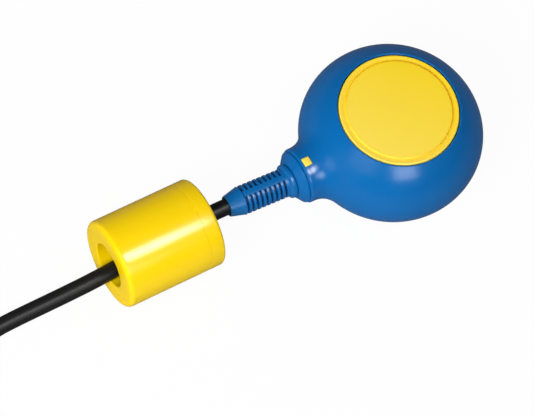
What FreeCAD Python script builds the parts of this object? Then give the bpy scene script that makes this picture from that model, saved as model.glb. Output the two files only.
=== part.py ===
"""Cable float switch: a flattened round float with a ribbed cable boot, a ring weight and its cable.

The origin is the centre of the float's lower face, +Z is up, and the cable leaves the float along -X.
The float lies on its lower face, the weight on its side, and the spare cable in a flat coil beside them.
"""
import FreeCAD, Part
import math
import os

os.makedirs("parts", exist_ok=True)
Vec = FreeCAD.Vector

# Clearances between pieces that sit on, slide into or are fixed tight to each other
seat_gap = 0.1
slip_gap = 0.15
close_gap = 0.05

# Float: a flattened ball with a round face above and below
float_radius = 50.0
float_height = 57.0
lip_drop = 0.5
lip_land = 0.85
shell_wall = 2.6
face_radius = 32.6
face_gap = 0.35
plateau_radius = 28.7
plateau_step = 0.5
plateau_slope = 0.25
rim_drop = 0.8
rim_rounding = 0.6
sleeve_length = 7.5
sleeve_wall = 1.8
weld_step = 1.2
weld_width = 0.9
weld_gap = 0.12
shell_ribs = 5
rib_thickness = 1.6
rib_start = 2.2
rib_gap = 0.2
neck_radius = 15.5
neck_wall = 2.4
neck_length = 8.9
neck_flare = 7.0
neck_rounding = 1.5
window_from_end = 6.0
window_length = 4.7
window_width = 5.2

# Capsule: the sealed yellow box inside the float
capsule_wall = 2.2
capsule_floor = 3.0
lid_depth = 8.0
lid_spigot = 5.0
spigot_wall = 1.4
groove_foot = 1.4
groove_width = 2.0
collar_ring_height = 1.9
collar_ring_width = 1.4
seal_section = 1.8
tube_gap = 0.3
tube_wall = 2.4
tube_recess = 0.7
gland_depth = 14.9
cable_hole_gap = 0.35
catch_proud = 0.3
catch_gap = 0.15
catch_rounding = 0.35
boss_radius = 3.4
boss_hole_floor = 1.0
boss_x = 18.0
boss_y = 9.5

# Gland: collar, washer and seal round the cable, with the ribbed boot
seal_length = 5.6
seal_chamfer = 1.2
washer_thickness = 0.8
washer_gap = 0.2
washer_hole_gap = 0.3
collar_root = 14.6
collar_tip = 10.4
collar_length = 4.3
collar_rounding = 0.8
collar_lip = 2.2
collar_chamfer = 0.5
collar_flat = 0.4
boot_stem_radius = 8.2
boot_neck_radius = 7.4
boot_ring_radius = 9.5
boot_ring_length = 2.7
boot_ring_slope = 0.8
boot_radius = 7.95
boot_tip_radius = 5.85
boot_straight = 25.5
boot_taper = 9.0
boot_mouth = 0.5
boot_mouth_depth = 2.0
boot_lean = 2.5
boot_foot = 0.35
boot_rounding = 0.7
tip_rounding = 0.5
slot_first = 1.6
slot_pitch = 2.85
slot_width = 1.4
slot_count = 9
slot_core = 5.6
spine_width = 3.3

# Switch works inside the capsule
ball_radius = 8.0
ball_travel = 14.0
ball_far = 18.2
ball_gap = 0.3
channel_gap = 0.4
channel_wall = 1.8
saddle_half_width = 6.0
plug_thickness = 1.8
plug_floor = 0.8
plug_dish = 4.8
lever_thickness = 0.5
lever_width = 2.5
ear_thickness = 0.8
ear_half_height = 1.6
ear_front = 1.2
lever_swing = 10.0
lever_pivot_up = 8.6
lever_reach = 11.5
lever_room = 0.7
pivot_pin_radius = 0.7
pin_hole_gap = 0.08
eye_wall = 0.7
eye_gap = 0.2
switch_depth = 10.2
switch_length = 19.8
switch_width = 6.4
case_wall = 1.2
cover_thickness = 1.0
cover_rounding = 0.3
plunger_down = 4.0
plunger_gap = 0.25
plunger_radius = 1.1
plunger_inside = 3.0
tag_length = 4.2
tag_width = 2.8
tag_thickness = 0.5
tag_pitch = 7.0
tag_root = 1.6
tag_eye = 0.7
tag_eye_place = 1.3
plate_thickness = 2.2
plate_drop = 2.8
plate_half_x = 22.5
plate_half_y = 13.0
plate_corner = 5.0
web_margin = 1.0
screw_radius = 1.4
screw_thread = 0.25
screw_hole_gap = 0.2
screw_head_radius = 2.7
screw_head_height = 1.9
screw_slot_width = 0.8
screw_slot_depth = 0.8
screw_end_gap = 3.1

# Cable: round rubber jacket with three insulated cores
cable_radius = 4.5
core_radius = 1.25
core_ring = 1.5
wire_straight = 2.4
wire_starts = (2.0, 4.4, 2.4)
jacket_end = 29.4
bore_gap = 0.1
bared_cores = 26.0
core_spread = 0.09
bend_share = 0.45
ferrule_length = 8.0
ferrule_radius = 0.85
ferrule_sleeve = 5.0
ferrule_wall = 0.35
ferrule_lip = 0.6

# Weight: a plastic case filled with an iron ring, wedged on the cable
weight_radius = 24.7
weight_gap = 14.2
weight_length = 57.3
weight_side = 1.15
weight_wall = 2.3
weight_end_wall = 2.6
weight_edge_far = 2.6
weight_edge_near = 1.8
cap_length = 8.8
cap_wall = 3.0
cap_spigot = 4.0
cap_spigot_wall = 2.2
cap_hole = 8.0
mouth_radius = 12.4
mouth_chamfer = 0.7
tube_thickness = 2.0
ballast_gap = 0.3
lock_depth = 10.4
lock_length = 10.0
lock_small = 7.6
lock_large = 8.6
lock_flange = 10.4
lock_flange_length = 1.6
lock_grip = 4.75
lock_spread = 0.21
lock_split = 1.5

# Coil of spare cable: two flat layers of turns that wind in above and out below
coil_distance = 192.5
coil_y = 46.5
coil_turn_radius = 57.5
coil_pitch = 9.1
coil_layer_turns = 2.96
coil_entry_angle = -76.5
coil_leave_angle = -50.0
coil_stub = 34.0
coil_lead_in = 8.0
coil_lead_out = 10.0

# Values that follow from the sizes above
middle = float_height / 2
lip_height = middle - lip_drop
opening_radius = face_radius + face_gap
lip_radius = opening_radius + lip_land
dome_half_axis = lip_height / math.sqrt(1 - (lip_radius / float_radius) ** 2)
neck_end = float_radius + neck_length
window_start = neck_end - window_from_end
capsule_inner = face_radius - capsule_wall
tube_radius = neck_radius - neck_wall - tube_gap
gland_bore = tube_radius - tube_wall
gland_floor = neck_end - gland_depth
washer_start = gland_floor + seat_gap + seal_length
collar_start = washer_start + washer_thickness + seat_gap
stem_start = collar_start + 2 * seat_gap
collar_head = neck_end + seat_gap
collar_end = collar_head + collar_length
boot_ring_start = collar_end + seat_gap
boot_ring_end = boot_ring_start + boot_ring_length
boot_sleeve = boot_ring_end + boot_ring_slope
boot_straight_end = boot_sleeve + boot_straight
boot_end = boot_straight_end + boot_taper
cable_exit = boot_end - boot_mouth_depth + bore_gap
weight_near = boot_end + weight_gap
weight_far = weight_near + weight_length
lock_near = weight_near + lock_depth
coil_x = -cable_exit - coil_distance
coil_inner = coil_turn_radius - coil_pitch * coil_layer_turns - cable_radius
coil_outer = coil_turn_radius + cable_radius
top_turn = 3 * cable_radius
big = 4 * float_radius


def box(x0, x1, y0, y1, z0, z1):
    """A block between two corners."""
    return Part.makeBox(x1 - x0, y1 - y0, z1 - z0, Vec(x0, y0, z0))


def fuse(first, *others):
    """One clean solid from pieces that overlap."""
    return first.fuse(list(others)).removeSplitter()


def spun(outline):
    """A solid turned about the float's upright axis, from (radius, height) corners."""
    corners = [Vec(r, 0, z) for r, z in outline]
    wire = Part.makePolygon(corners + corners[:1])
    return Part.Face(wire).revolve(Vec(0, 0, 0), Vec(0, 0, 1), 360)


def turned(outline, y=0.0, z=middle):
    """A solid turned about a line along the cable, from (distance from the float's axis, radius) corners."""
    corners = [Vec(-s, y, z + r) for s, r in outline]
    wire = Part.makePolygon(corners + corners[:1])
    return Part.Face(wire).revolve(Vec(0, y, z), Vec(1, 0, 0), 360)


def rod(radius, s0, s1, y=0.0, z=middle):
    """A round bar along the cable's line."""
    return Part.makeCylinder(radius, s1 - s0, Vec(-s1, y, z), Vec(1, 0, 0))


def rounded(shape, radius, wanted):
    """The shape with a fillet on each edge that the test picks."""
    edges = [e for e in shape.Edges if wanted(e)]
    return shape.makeFillet(radius, edges).Solids[0]


def circle_at(edge, radius, tolerance=0.01):
    """True for a whole round edge of that radius."""
    curve = edge.Curve
    return isinstance(curve, Part.Circle) and abs(curve.Radius - radius) < tolerance


def save(name, shape):
    """Write one named piece."""
    assert shape.isValid(), name
    shape.exportStep("parts/" + name + ".step")
    print(name, len(shape.Solids), "solid, volume", round(shape.Volume, 1), "mm3")


# Outer shell

def dome(radius, half_axis, top):
    """A flattened ball about the origin, cut flat above and below."""
    at_top = radius * math.sqrt(1 - (top / half_axis) ** 2)
    ellipse = Part.Ellipse(Vec(radius, 0, 0), Vec(0, 0, half_axis), Vec(0, 0, 0))
    angle = math.asin(top / half_axis)
    side = Part.ArcOfEllipse(ellipse, -angle, angle).toBSpline().toShape()
    upper = Part.makeLine(Vec(at_top, 0, top), Vec(0, 0, top))
    axis = Part.makeLine(Vec(0, 0, top), Vec(0, 0, -top))
    lower = Part.makeLine(Vec(0, 0, -top), Vec(at_top, 0, -top))
    face = Part.Face(Part.Wire(Part.sortEdges([side, upper, axis, lower])[0]))
    return face.revolve(Vec(0, 0, 0), Vec(0, 0, 1), 360)


def rib_slot(angle, low, high):
    """The space of one upright plate that keeps the shell's wall off the capsule."""
    inner = opening_radius + sleeve_wall + rib_gap
    plate = box(inner, big, -rib_thickness / 2, rib_thickness / 2, low, high)
    plate.rotate(Vec(0, 0, 0), Vec(0, 0, 1), angle)
    return plate


def shell_hollow():
    """The space inside the shell: around the capsule, between the ribs, and through the neck."""
    inner_height = lip_height - shell_wall
    hollow = dome(float_radius - shell_wall, dome_half_axis - shell_wall, inner_height)
    sleeve_outer = opening_radius + sleeve_wall
    sleeve_end = lip_height - sleeve_length
    sleeves = Part.makeCylinder(sleeve_outer, 2 * lip_height, Vec(0, 0, -lip_height))
    sleeves = sleeves.cut(Part.makeCylinder(sleeve_outer, 2 * sleeve_end, Vec(0, 0, -sleeve_end)))
    hollow = hollow.cut(sleeves)
    step = 360 / (shell_ribs + 1)
    for i in range(shell_ribs):
        angle = 180 + step * (i + 1)
        hollow = hollow.cut(rib_slot(angle, rib_start, lip_height))
        hollow = hollow.cut(rib_slot(angle, -lip_height, -rib_start))
    return hollow.fuse(rod(neck_radius - neck_wall, 0, neck_end, z=0))


def whole_shell():
    """Both halves of the float's outer shell in one, about the float's middle."""
    neck = rod(neck_radius, 0, neck_end, z=0)
    outer = dome(float_radius, dome_half_axis, lip_height).fuse(neck).removeSplitter()
    outer = rounded(outer, neck_flare, lambda e: isinstance(e.Curve, Part.BSplineCurve))
    outer = rounded(outer, neck_rounding, lambda e: circle_at(e, neck_radius) and e.BoundBox.XLength < 0.01)
    shell = outer.cut(shell_hollow())
    return shell.cut(Part.makeCylinder(opening_radius, big, Vec(0, 0, -big / 2)))


def weld_ring(gap):
    """The tongue that lines up the two halves, grown by a gap for its groove."""
    inner = float_radius - shell_wall / 2 - weld_width / 2 - gap
    ring = Part.makeCylinder(inner + weld_width + 2 * gap, weld_step + gap)
    ring = ring.cut(Part.makeCylinder(inner, weld_step + gap))
    return ring.cut(box(-big, 0, -neck_radius - neck_flare, neck_radius + neck_flare, -big, big))


def shell_halves():
    """The upper and the lower shell, welded together along the float's middle."""
    shell = whole_shell()
    window_end = window_start + window_length
    window = box(-window_end, -window_start, -window_width / 2, window_width / 2, 0, big)
    upper = shell.common(box(-big, big, -big, big, 0, big)).cut(window)
    lower = upper.mirror(Vec(0, 0, 0), Vec(0, 0, 1)).fuse(weld_ring(0))
    upper = upper.cut(weld_ring(weld_gap))
    lift = Vec(0, 0, middle)
    return upper.translated(lift), lower.translated(lift)


# Sealed capsule

def face_outline():
    """Corners of a yellow face from its axis outwards, as (radius, depth below the face)."""
    slope_end = face_radius - rim_rounding
    return [(0, 0), (plateau_radius, 0), (plateau_radius + plateau_slope, plateau_step), (slope_end, rim_drop),
            (face_radius, rim_drop + rim_rounding)]


def neck_tube():
    """The capsule's tube into the neck, with its bore still closed and a catch above and below."""
    tube = rod(tube_radius, capsule_inner, neck_end - tube_recess)
    start = window_start + catch_gap
    length = window_length - 2 * catch_gap
    width = window_width - 2 * catch_gap
    catch = rod(neck_radius + catch_proud, start, start + length)
    catch = catch.common(box(-big, 0, -width / 2, width / 2, 0, big))
    catch = rounded(catch, catch_rounding, lambda e: e.BoundBox.ZMin > middle + neck_radius / 2)
    return fuse(tube, catch)


def capsule_body():
    """The capsule's cup: lower face, wall, gland tube and four screw bosses."""
    rim = float_height - lid_depth
    outline = face_outline()
    outline += [(face_radius, rim), (capsule_inner, rim), (capsule_inner, capsule_floor), (0, capsule_floor)]
    cup = spun(outline)
    ring_z = lip_drop + sleeve_length + seat_gap
    ring_radius = opening_radius + collar_ring_width
    for z in (ring_z, float_height - ring_z - collar_ring_height):
        ring = Part.makeCylinder(ring_radius, collar_ring_height, Vec(0, 0, z))
        inside = Part.makeCylinder(face_radius - capsule_wall / 2, collar_ring_height, Vec(0, 0, z))
        cup = cup.fuse(ring.cut(inside))
    cup = fuse(cup, neck_tube().cut(Part.makeCylinder(capsule_inner, big)))
    bore = rod(gland_bore, gland_floor, neck_end).fuse(rod(cable_radius + cable_hole_gap, 0, neck_end))
    cup = cup.cut(bore)
    for x, y in boss_places():
        boss = Part.makeCylinder(boss_radius, boss_height, Vec(x, y, capsule_floor))
        hole_floor = Vec(x, y, capsule_floor + boss_hole_floor)
        cup = cup.fuse(boss.cut(Part.makeCylinder(shank_radius + close_gap, boss_height, hole_floor)))
    return cup.removeSplitter()


def boss_places():
    """Centres of the four screws that hold the carrier."""
    return [(x, y) for x in (-boss_x, boss_x) for y in (-boss_y, boss_y)]


def capsule_lid():
    """The upper face, with a spigot that holds the seal ring in the cup."""
    rim = float_height - lid_depth
    under_rim = rim + close_gap
    spigot = capsule_inner - slip_gap
    groove = capsule_inner - seal_section - 2 * seat_gap
    inner = groove - spigot_wall
    outline = [(r, float_height - d) for r, d in face_outline()]
    foot = rim - lid_spigot
    groove_bottom = foot + groove_foot
    groove_top = groove_bottom + groove_width
    outline += [(face_radius, under_rim), (spigot, under_rim), (spigot, groove_top), (groove, groove_top),
                (groove, groove_bottom), (spigot, groove_bottom), (spigot, foot), (inner, foot)]
    outline += [(inner, float_height - capsule_floor), (0, float_height - capsule_floor)]
    return spun(outline)


def capsule_seal():
    """The rubber ring in the lid's groove."""
    height = float_height - lid_depth - lid_spigot + groove_foot + groove_width / 2
    section = seal_section / 2
    return Part.makeTorus(capsule_inner - section - seat_gap, section, Vec(0, 0, height))


# Cable gland and boot

def gland_seal():
    """A rubber bush that the collar squeezes onto the cable."""
    start = gland_floor + seat_gap
    end = start + seal_length
    bore = cable_radius + bore_gap / 2
    side = gland_bore - seat_gap
    return turned([(start, bore), (start, gland_bore - seal_chamfer), (start + seal_chamfer, side),
                   (end, side), (end, bore)])


def gland_washer():
    """A slip washer between the seal and the turning collar."""
    end = washer_start + washer_thickness
    ring = rod(gland_bore - washer_gap, washer_start, end)
    return ring.cut(rod(cable_radius + washer_hole_gap, washer_start, end))


def gland_collar():
    """The screw collar that closes the neck and traps the boot's stem."""
    head = collar_head
    shoulder = head + collar_chamfer + collar_flat
    bore = boot_stem_radius + seat_gap
    throat = boot_neck_radius + seat_gap
    thread = gland_bore - slip_gap
    lip = collar_end - collar_lip
    collar = turned([(collar_start, bore), (collar_start, thread), (head, thread),
                     (head, collar_root - collar_chamfer), (head + collar_chamfer, collar_root),
                     (shoulder, collar_root), (collar_end, collar_tip), (collar_end, throat), (lip, throat),
                     (lip, bore)])
    corner = shoulder - collar_flat / 2
    return rounded(collar, collar_rounding, lambda e: circle_at(e, collar_root) and e.CenterOfMass.x < -corner)


def cable_line(s):
    """A point on the cable's line: straight in the gland, leaning a little from the boot's ring on."""
    ahead = max(s - boot_ring_end, 0)
    lean = math.radians(boot_lean)
    return ahead - s - ahead * math.cos(lean), ahead * math.sin(lean), middle


def boot_root():
    """The boot's stem in the gland and the ring against the collar."""
    lip = collar_end - collar_lip - seat_gap
    root = turned([(stem_start, 0), (stem_start, boot_stem_radius), (lip, boot_stem_radius),
                   (lip, boot_neck_radius), (boot_ring_start, boot_neck_radius),
                   (boot_ring_start, boot_ring_radius), (boot_ring_end, boot_ring_radius),
                   (boot_sleeve, boot_radius + boot_foot), (boot_sleeve, 0)])
    return rounded(root, boot_rounding, lambda e: circle_at(e, boot_ring_radius))


def boot_sleeve_piece():
    """The boot's slotted sleeve and tapered tip, leaning with the cable."""
    bore = cable_radius + bore_gap
    mouth = boot_end - boot_mouth_depth
    sleeve = turned([(boot_ring_end, 0), (boot_ring_end, boot_radius), (boot_straight_end, boot_radius),
                     (boot_end, boot_tip_radius), (boot_end, 0)])
    sleeve = rounded(sleeve, tip_rounding, lambda e: circle_at(e, boot_tip_radius))
    sleeve = sleeve.cut(turned([(mouth, 0), (mouth, bore), (boot_end, bore + boot_mouth), (boot_end, 0)]))
    for i in range(slot_count):
        s = boot_sleeve + slot_first + i * slot_pitch
        slot = rod(boot_ring_radius, s, s + slot_width).cut(rod(slot_core, s, s + slot_width))
        spine = box(-s - slot_width, -s, -spine_width / 2, spine_width / 2, 0, float_height)
        sleeve = sleeve.cut(slot.cut(spine))
    sleeve.rotate(Vec(-boot_ring_end, 0, middle), Vec(0, 0, 1), -boot_lean)
    return sleeve


def cable_boot():
    """The soft strain relief in one piece, with a bore that follows the cable."""
    bore = tube_along(inner_route, cable_radius + bore_gap, "boot_bore")
    return boot_root().fuse(boot_sleeve_piece()).cut(bore)


# Switch works

channel_radius = ball_radius + channel_gap
ball_near = ball_far - ball_travel
lever_face = ball_near - ball_radius - ball_gap
pivot_x = lever_face - lever_thickness / 2
switch_front = pivot_x - pivot_pin_radius - eye_wall - eye_gap
switch_back = switch_front - switch_depth
pivot_z = middle + lever_pivot_up
switch_top = pivot_z + ear_half_height
switch_bottom = switch_top - switch_length
plunger_z = pivot_z - plunger_down
plate_top = switch_bottom - plate_drop
plate_bottom = plate_top - plate_thickness
boss_height = plate_bottom - seat_gap - capsule_floor
shank_radius = screw_radius - screw_thread
screw_length = plate_top - capsule_floor - boss_hole_floor - screw_end_gap
web_side = switch_width / 2 + seat_gap
ear_outer = lever_width / 2 + seat_gap + ear_thickness


def steel_ball():
    """The ball, at the far end of its channel."""
    return Part.makeSphere(ball_radius, Vec(ball_far, 0, middle))


def channel_start():
    """Where the channel opens towards the lever, clear of the lever's tip at rest."""
    swing = math.tan(math.radians(lever_swing)) * lever_reach
    return lever_face + swing + lever_room


def switch_carrier():
    """The moulded frame that holds the ball channel and the switch."""
    start = channel_start()
    end = ball_far + ball_radius + ball_gap
    outer = channel_radius + channel_wall
    plate = box(-plate_half_x, plate_half_x, -plate_half_y, plate_half_y, plate_bottom, plate_top)
    plate = rounded(plate, plate_corner, lambda e: e.BoundBox.ZLength > plate_thickness / 2)
    channel = rod(outer, -end, -start)
    saddle = box(start, end, -saddle_half_width, saddle_half_width, plate_bottom, middle)
    web_start = switch_back - web_margin
    web_end = switch_front - web_margin
    web_outer = web_side + plate_thickness
    web = box(web_start, web_end, web_side, web_outer, plate_bottom, switch_top)
    foot = box(switch_back, web_end, -web_side, web_outer, plate_bottom, switch_bottom - seat_gap)
    carrier = fuse(plate, channel, saddle, web, foot)
    carrier = carrier.cut(rod(channel_radius, -end, -start))
    for x, y in boss_places():
        hole = Part.makeCylinder(screw_radius + screw_hole_gap, plate_thickness, Vec(x, y, plate_bottom))
        carrier = carrier.cut(hole)
    return carrier


def channel_plug():
    """The stop that closes the channel's far end."""
    start = ball_far + ball_radius + ball_gap
    disc = rod(channel_radius + channel_wall, -start - plug_thickness, -start)
    return disc.cut(rod(plug_dish, -start - plug_thickness + plug_floor, -start))


def carrier_screws():
    """Four screws through the carrier's plate into the bosses."""
    screws = []
    for x, y in boss_places():
        tip = Vec(x, y, plate_top - screw_length)
        shank = Part.makeCylinder(shank_radius, screw_length + 2 * close_gap, tip)
        head = Part.makeCylinder(screw_head_radius, screw_head_height, Vec(x, y, plate_top + close_gap))
        slot_floor = plate_top + close_gap + screw_head_height - screw_slot_depth
        slot = box(x - screw_slot_width / 2, x + screw_slot_width / 2, y - big, y + big, slot_floor, big)
        screws.append(fuse(shank, head).cut(slot))
    return Part.makeCompound(screws)


def switch_case():
    """The snap switch's case, open on one side, with a pocket for its plunger."""
    half = switch_width / 2
    case = box(switch_back, switch_front, -half + cover_thickness, half, switch_bottom, switch_top)
    room = box(switch_back + case_wall, switch_front - case_wall, -half, half - case_wall,
               switch_bottom + case_wall, switch_top - case_wall)
    case = case.cut(room)
    hole = rod(plunger_radius + slip_gap, -switch_front, -switch_front + 2 * case_wall, z=plunger_z)
    half_tag = tag_width / 2 + close_gap
    half_slit = tag_thickness / 2 + close_gap
    for z in tag_heights():
        case = case.cut(box(switch_back - case_wall, switch_back + 2 * case_wall, -half_slit, half_slit,
                            z - half_tag, z + half_tag))
    case = case.cut(hole)
    for y in (-ear_outer, ear_outer - ear_thickness):
        ear = box(switch_front - case_wall, pivot_x + ear_front, y, y + ear_thickness,
                  pivot_z - ear_half_height, switch_top)
        case = case.fuse(ear)
    return case.cut(pivot_pin(pin_hole_gap)).removeSplitter()


def switch_cover():
    """The side cover of the snap switch."""
    half = switch_width / 2
    inner = -half + cover_thickness - close_gap
    cover = box(switch_back, switch_front, -half, inner, switch_bottom, switch_top)
    return cover.makeFillet(cover_rounding, cover.Edges[:1])


def tag_heights():
    """Heights of the three solder tags on the switch's back."""
    centre = (switch_bottom + switch_top) / 2
    return [centre + i * tag_pitch for i in (-1, 0, 1)]


def solder_tag(z):
    """One brass tag through the switch's back, with an eye for its wire."""
    tag = box(switch_back - tag_length, switch_back + tag_root, -tag_thickness / 2, tag_thickness / 2,
              z - tag_width / 2, z + tag_width / 2)
    eye_start = Vec(switch_back - tag_length + tag_eye_place, -tag_thickness, z)
    eye = Part.makeCylinder(tag_eye, 2 * tag_thickness, eye_start, Vec(0, 1, 0))
    return tag.cut(eye)


def pivot_pin(gap):
    """The lever's hinge pin, or its hole when a gap is given."""
    start = Vec(pivot_x, -ear_outer, pivot_z)
    return Part.makeCylinder(pivot_pin_radius + gap, 2 * ear_outer, start, Vec(0, 1, 0))


def switch_lever():
    """A spring strip that hangs from the hinge pin in front of the plunger, and leans to the ball at rest."""
    half = lever_width / 2
    eye = Part.makeCylinder(pivot_pin_radius + eye_wall, 2 * half, Vec(pivot_x, -half, pivot_z), Vec(0, 1, 0))
    strip = box(pivot_x - lever_thickness / 2, pivot_x + lever_thickness / 2, -half, half,
                pivot_z - lever_reach, pivot_z)
    lever = fuse(strip, eye).cut(pivot_pin(close_gap))
    lever.rotate(Vec(pivot_x, 0, pivot_z), Vec(0, 1, 0), -lever_swing)
    return lever


def switch_plunger():
    """The small button that the lever presses into the switch."""
    lean = math.tan(math.radians(lever_swing)) * plunger_down
    nose = pivot_x - lever_thickness / 2 + lean - plunger_gap
    return rod(plunger_radius, -nose, -switch_front + plunger_inside, z=plunger_z)


# Cable

def path_wire(points, name):
    """Straight runs joined by tangent arcs through a route's points."""
    points = [Vec(*p) for p in points]
    edges = []
    radii = []
    start = points[0]
    for before, corner, after in zip(points, points[1:], points[2:]):
        into = (corner - before).normalize()
        out = (after - corner).normalize()
        half_turn = into.getAngle(out) / 2
        cut = bend_share * min((corner - before).Length, (after - corner).Length)
        radius = cut / math.tan(half_turn)
        first = corner - into * cut
        last = corner + out * cut
        inward = (out - into).normalize()
        centre = corner + inward * (radius / math.cos(half_turn))
        edges.append(Part.LineSegment(start, first).toShape())
        edges.append(Part.Arc(first, centre - inward * radius, last).toShape())
        radii.append(round(radius))
        start = last
    edges.append(Part.LineSegment(start, points[-1]).toShape())
    print(name, "bend radii in mm:", radii)
    return Part.Wire(edges)


def tube_along(points, radius, name):
    """A round tube along a route."""
    wire = path_wire(points, name)
    way = Vec(*points[1]) - Vec(*points[0])
    circle = Part.Wire(Part.makeCircle(radius, Vec(*points[0]), way))
    tube = wire.makePipeShell([circle], True, False)
    share = tube.Volume / (math.pi * radius ** 2 * wire.Length)
    print(name, "length", round(wire.Length, 1), "mm, volume over section times length", round(share, 4))
    return tube


def beside_coil(angle, ahead, height):
    """A point on the straight line that touches the coil's outer turn, so far ahead along the cable."""
    turn = math.radians(angle)
    x = coil_x + coil_turn_radius * math.cos(turn) + ahead * math.sin(turn)
    y = coil_y + coil_turn_radius * math.sin(turn) - ahead * math.cos(turn)
    return x, y, height


# The jacket in the gland and boot
inner_route = [cable_line(s) for s in (jacket_end, boot_ring_end, cable_exit)]

# Hand-chosen points from the boot's tip, through the weight, down to the top layer of the coil
run_route = [
    cable_line(cable_exit),
    cable_line(cable_exit + 10.0),
    (-cable_exit - 22.0, 1.2, 26.6),
    (-cable_exit - 50.5, 1.0, 21.0),
    (-cable_exit - 76.5, 0.2, 16.2),
    (-cable_exit - 100.5, 0.3, 14.3),
    beside_coil(coil_entry_angle, -coil_stub - coil_lead_in, top_turn),
    beside_coil(coil_entry_angle, -coil_stub, top_turn),
]

# Hand-chosen points of the cable's end, which lies on the floor beside the coil
tail_route = [
    beside_coil(coil_leave_angle, coil_stub, cable_radius),
    beside_coil(coil_leave_angle, coil_stub + coil_lead_out, cable_radius),
    (coil_x - 6.2, coil_y - 77.8, cable_radius),
    (coil_x - 16.6, coil_y - 81.4, cable_radius),
    (coil_x - 26.5, coil_y - 82.8, cable_radius),
]


def cable_inner():
    """The stretch of jacket that the gland and the boot grip."""
    return tube_along(inner_route, cable_radius, "cable_inner")


def coil_layer(height):
    """One layer of turns as a flat ring, with a straight stub where the cable joins it."""
    edge = coil_y - coil_outer
    inner_edge = edge + 2 * cable_radius
    meet = coil_x + math.sqrt(coil_outer ** 2 - (coil_y - inner_edge) ** 2)
    touch = Vec(coil_x, edge, height)
    corners = [touch, Vec(coil_x + coil_stub, edge, height), Vec(coil_x + coil_stub, inner_edge, height),
               Vec(meet, inner_edge, height)]
    lines = [Part.makeLine(a, b) for a, b in zip(corners, corners[1:])]
    round_edge = Part.Arc(corners[-1], Vec(coil_x, coil_y + coil_outer, height), touch).toShape()
    layer = Part.Face(Part.Wire(lines + [round_edge])).extrude(Vec(0, 0, 2 * cable_radius))
    return layer.cut(Part.makeCylinder(coil_inner, big, Vec(coil_x, coil_y, 0)))


def cable_coil():
    """The outer shape of the coiled cable: it joins the top layer and leaves the bottom one."""
    centre = Vec(coil_x, coil_y, 0)
    top = coil_layer(2 * cable_radius)
    top.rotate(centre, Vec(0, 0, 1), coil_entry_angle + 90)
    bottom = coil_layer(0).mirror(centre, Vec(1, 0, 0))
    bottom.rotate(centre, Vec(0, 0, 1), coil_leave_angle + 90)
    return fuse(top, bottom)


def core_places():
    """Offsets of the three cores from the cable's centre, as (across, up)."""
    angles = [math.radians(90 + 120 * i) for i in range(3)]
    return [(core_ring * math.cos(a), core_ring * math.sin(a)) for a in angles]


def inner_wire(offset, run, z, name):
    """One core from the jacket's inner end to its solder tag."""
    across, up = offset
    start_x = -jacket_end
    eye_x = switch_back - tag_length - seat_gap
    start_z = middle + up
    points = [(start_x, across, start_z), (start_x + run, across, start_z),
              (eye_x - wire_straight, 0, z), (eye_x, 0, z)]
    return tube_along(points, core_radius, name)


def tail_frame():
    """The end of the jacket: its centre, its way on, and the way across it."""
    end = Vec(*tail_route[-1])
    way = (end - Vec(*tail_route[-2])).normalize()
    return end, way, Vec(0, 0, 1).cross(way)


def core_tail(i):
    """One bared core at the cable's end, spread a little from the others, with its crimped ferrule."""
    end, way, side = tail_frame()
    across, up = core_places()[i]
    spread = Vec(way).add(side * (across * core_spread))
    start = end + side * across + Vec(0, 0, up) + way * slip_gap
    core = Part.makeCylinder(core_radius, bared_cores, start, spread)
    spread.normalize()
    seat = start + spread * (bared_cores - ferrule_sleeve)
    collar = Part.makeCylinder(core_radius + ferrule_wall, ferrule_sleeve + ferrule_lip, seat, spread)
    core = core.cut(collar)
    collar = collar.cut(Part.makeCylinder(core_radius, ferrule_sleeve, seat, spread))
    pin = Part.makeCylinder(ferrule_radius, ferrule_length, seat + spread * ferrule_sleeve, spread)
    return core, fuse(collar, pin)


# Weight

def weight_case():
    """The weight's outer case with its through tube, open towards the float."""
    shell_end = weight_near + cap_length
    tube = mouth_radius + tube_thickness
    outer = rod(weight_radius, shell_end, weight_far, weight_side, weight_radius)
    outer = rounded(outer, weight_edge_far, lambda e: e.CenterOfMass.x < -weight_far + seat_gap)
    inside = weight_radius - weight_wall
    room = rod(inside, shell_end, weight_far - weight_end_wall, weight_side, weight_radius)
    room = room.cut(rod(tube, shell_end, weight_far, weight_side, weight_radius))
    lock_end = lock_near + lock_length
    seat_end = lock_end + lock_flange_length + seat_gap
    past_end = weight_far + seat_gap
    bore = turned([(seat_end, 0), (seat_end, mouth_radius), (weight_far - mouth_chamfer, mouth_radius),
                   (past_end, mouth_radius + mouth_chamfer + seat_gap), (past_end, 0)],
                  weight_side, weight_radius)
    cone = turned([(shell_end - seat_gap, 0), (shell_end - seat_gap, lock_small + slip_gap),
                   (lock_near, lock_small + slip_gap), (lock_end, lock_large + slip_gap),
                   (lock_end, lock_flange + slip_gap), (seat_end + seat_gap, lock_flange + slip_gap),
                   (seat_end + seat_gap, 0)], weight_side, weight_radius)
    return outer.cut(room).cut(bore).cut(cone)


def weight_cap():
    """The cap that closes the weight's end nearest the float."""
    end = weight_near + cap_length - slip_gap
    cap = rod(weight_radius, weight_near, end, weight_side, weight_radius)
    cap = rounded(cap, weight_edge_near, lambda e: e.CenterOfMass.x > -weight_near - seat_gap)
    spigot_end = end + cap_spigot
    inside = weight_radius - weight_wall - seat_gap
    spigot = rod(inside, weight_near + cap_wall, spigot_end, weight_side, weight_radius)
    cap = cap.cut(rod(inside, weight_near + cap_wall, end, weight_side, weight_radius)).fuse(spigot)
    hollow = inside - cap_spigot_wall
    cap = cap.cut(rod(hollow, weight_near + cap_wall, spigot_end, weight_side, weight_radius))
    return cap.cut(rod(cap_hole, weight_near, end, weight_side, weight_radius)).removeSplitter()


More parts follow.
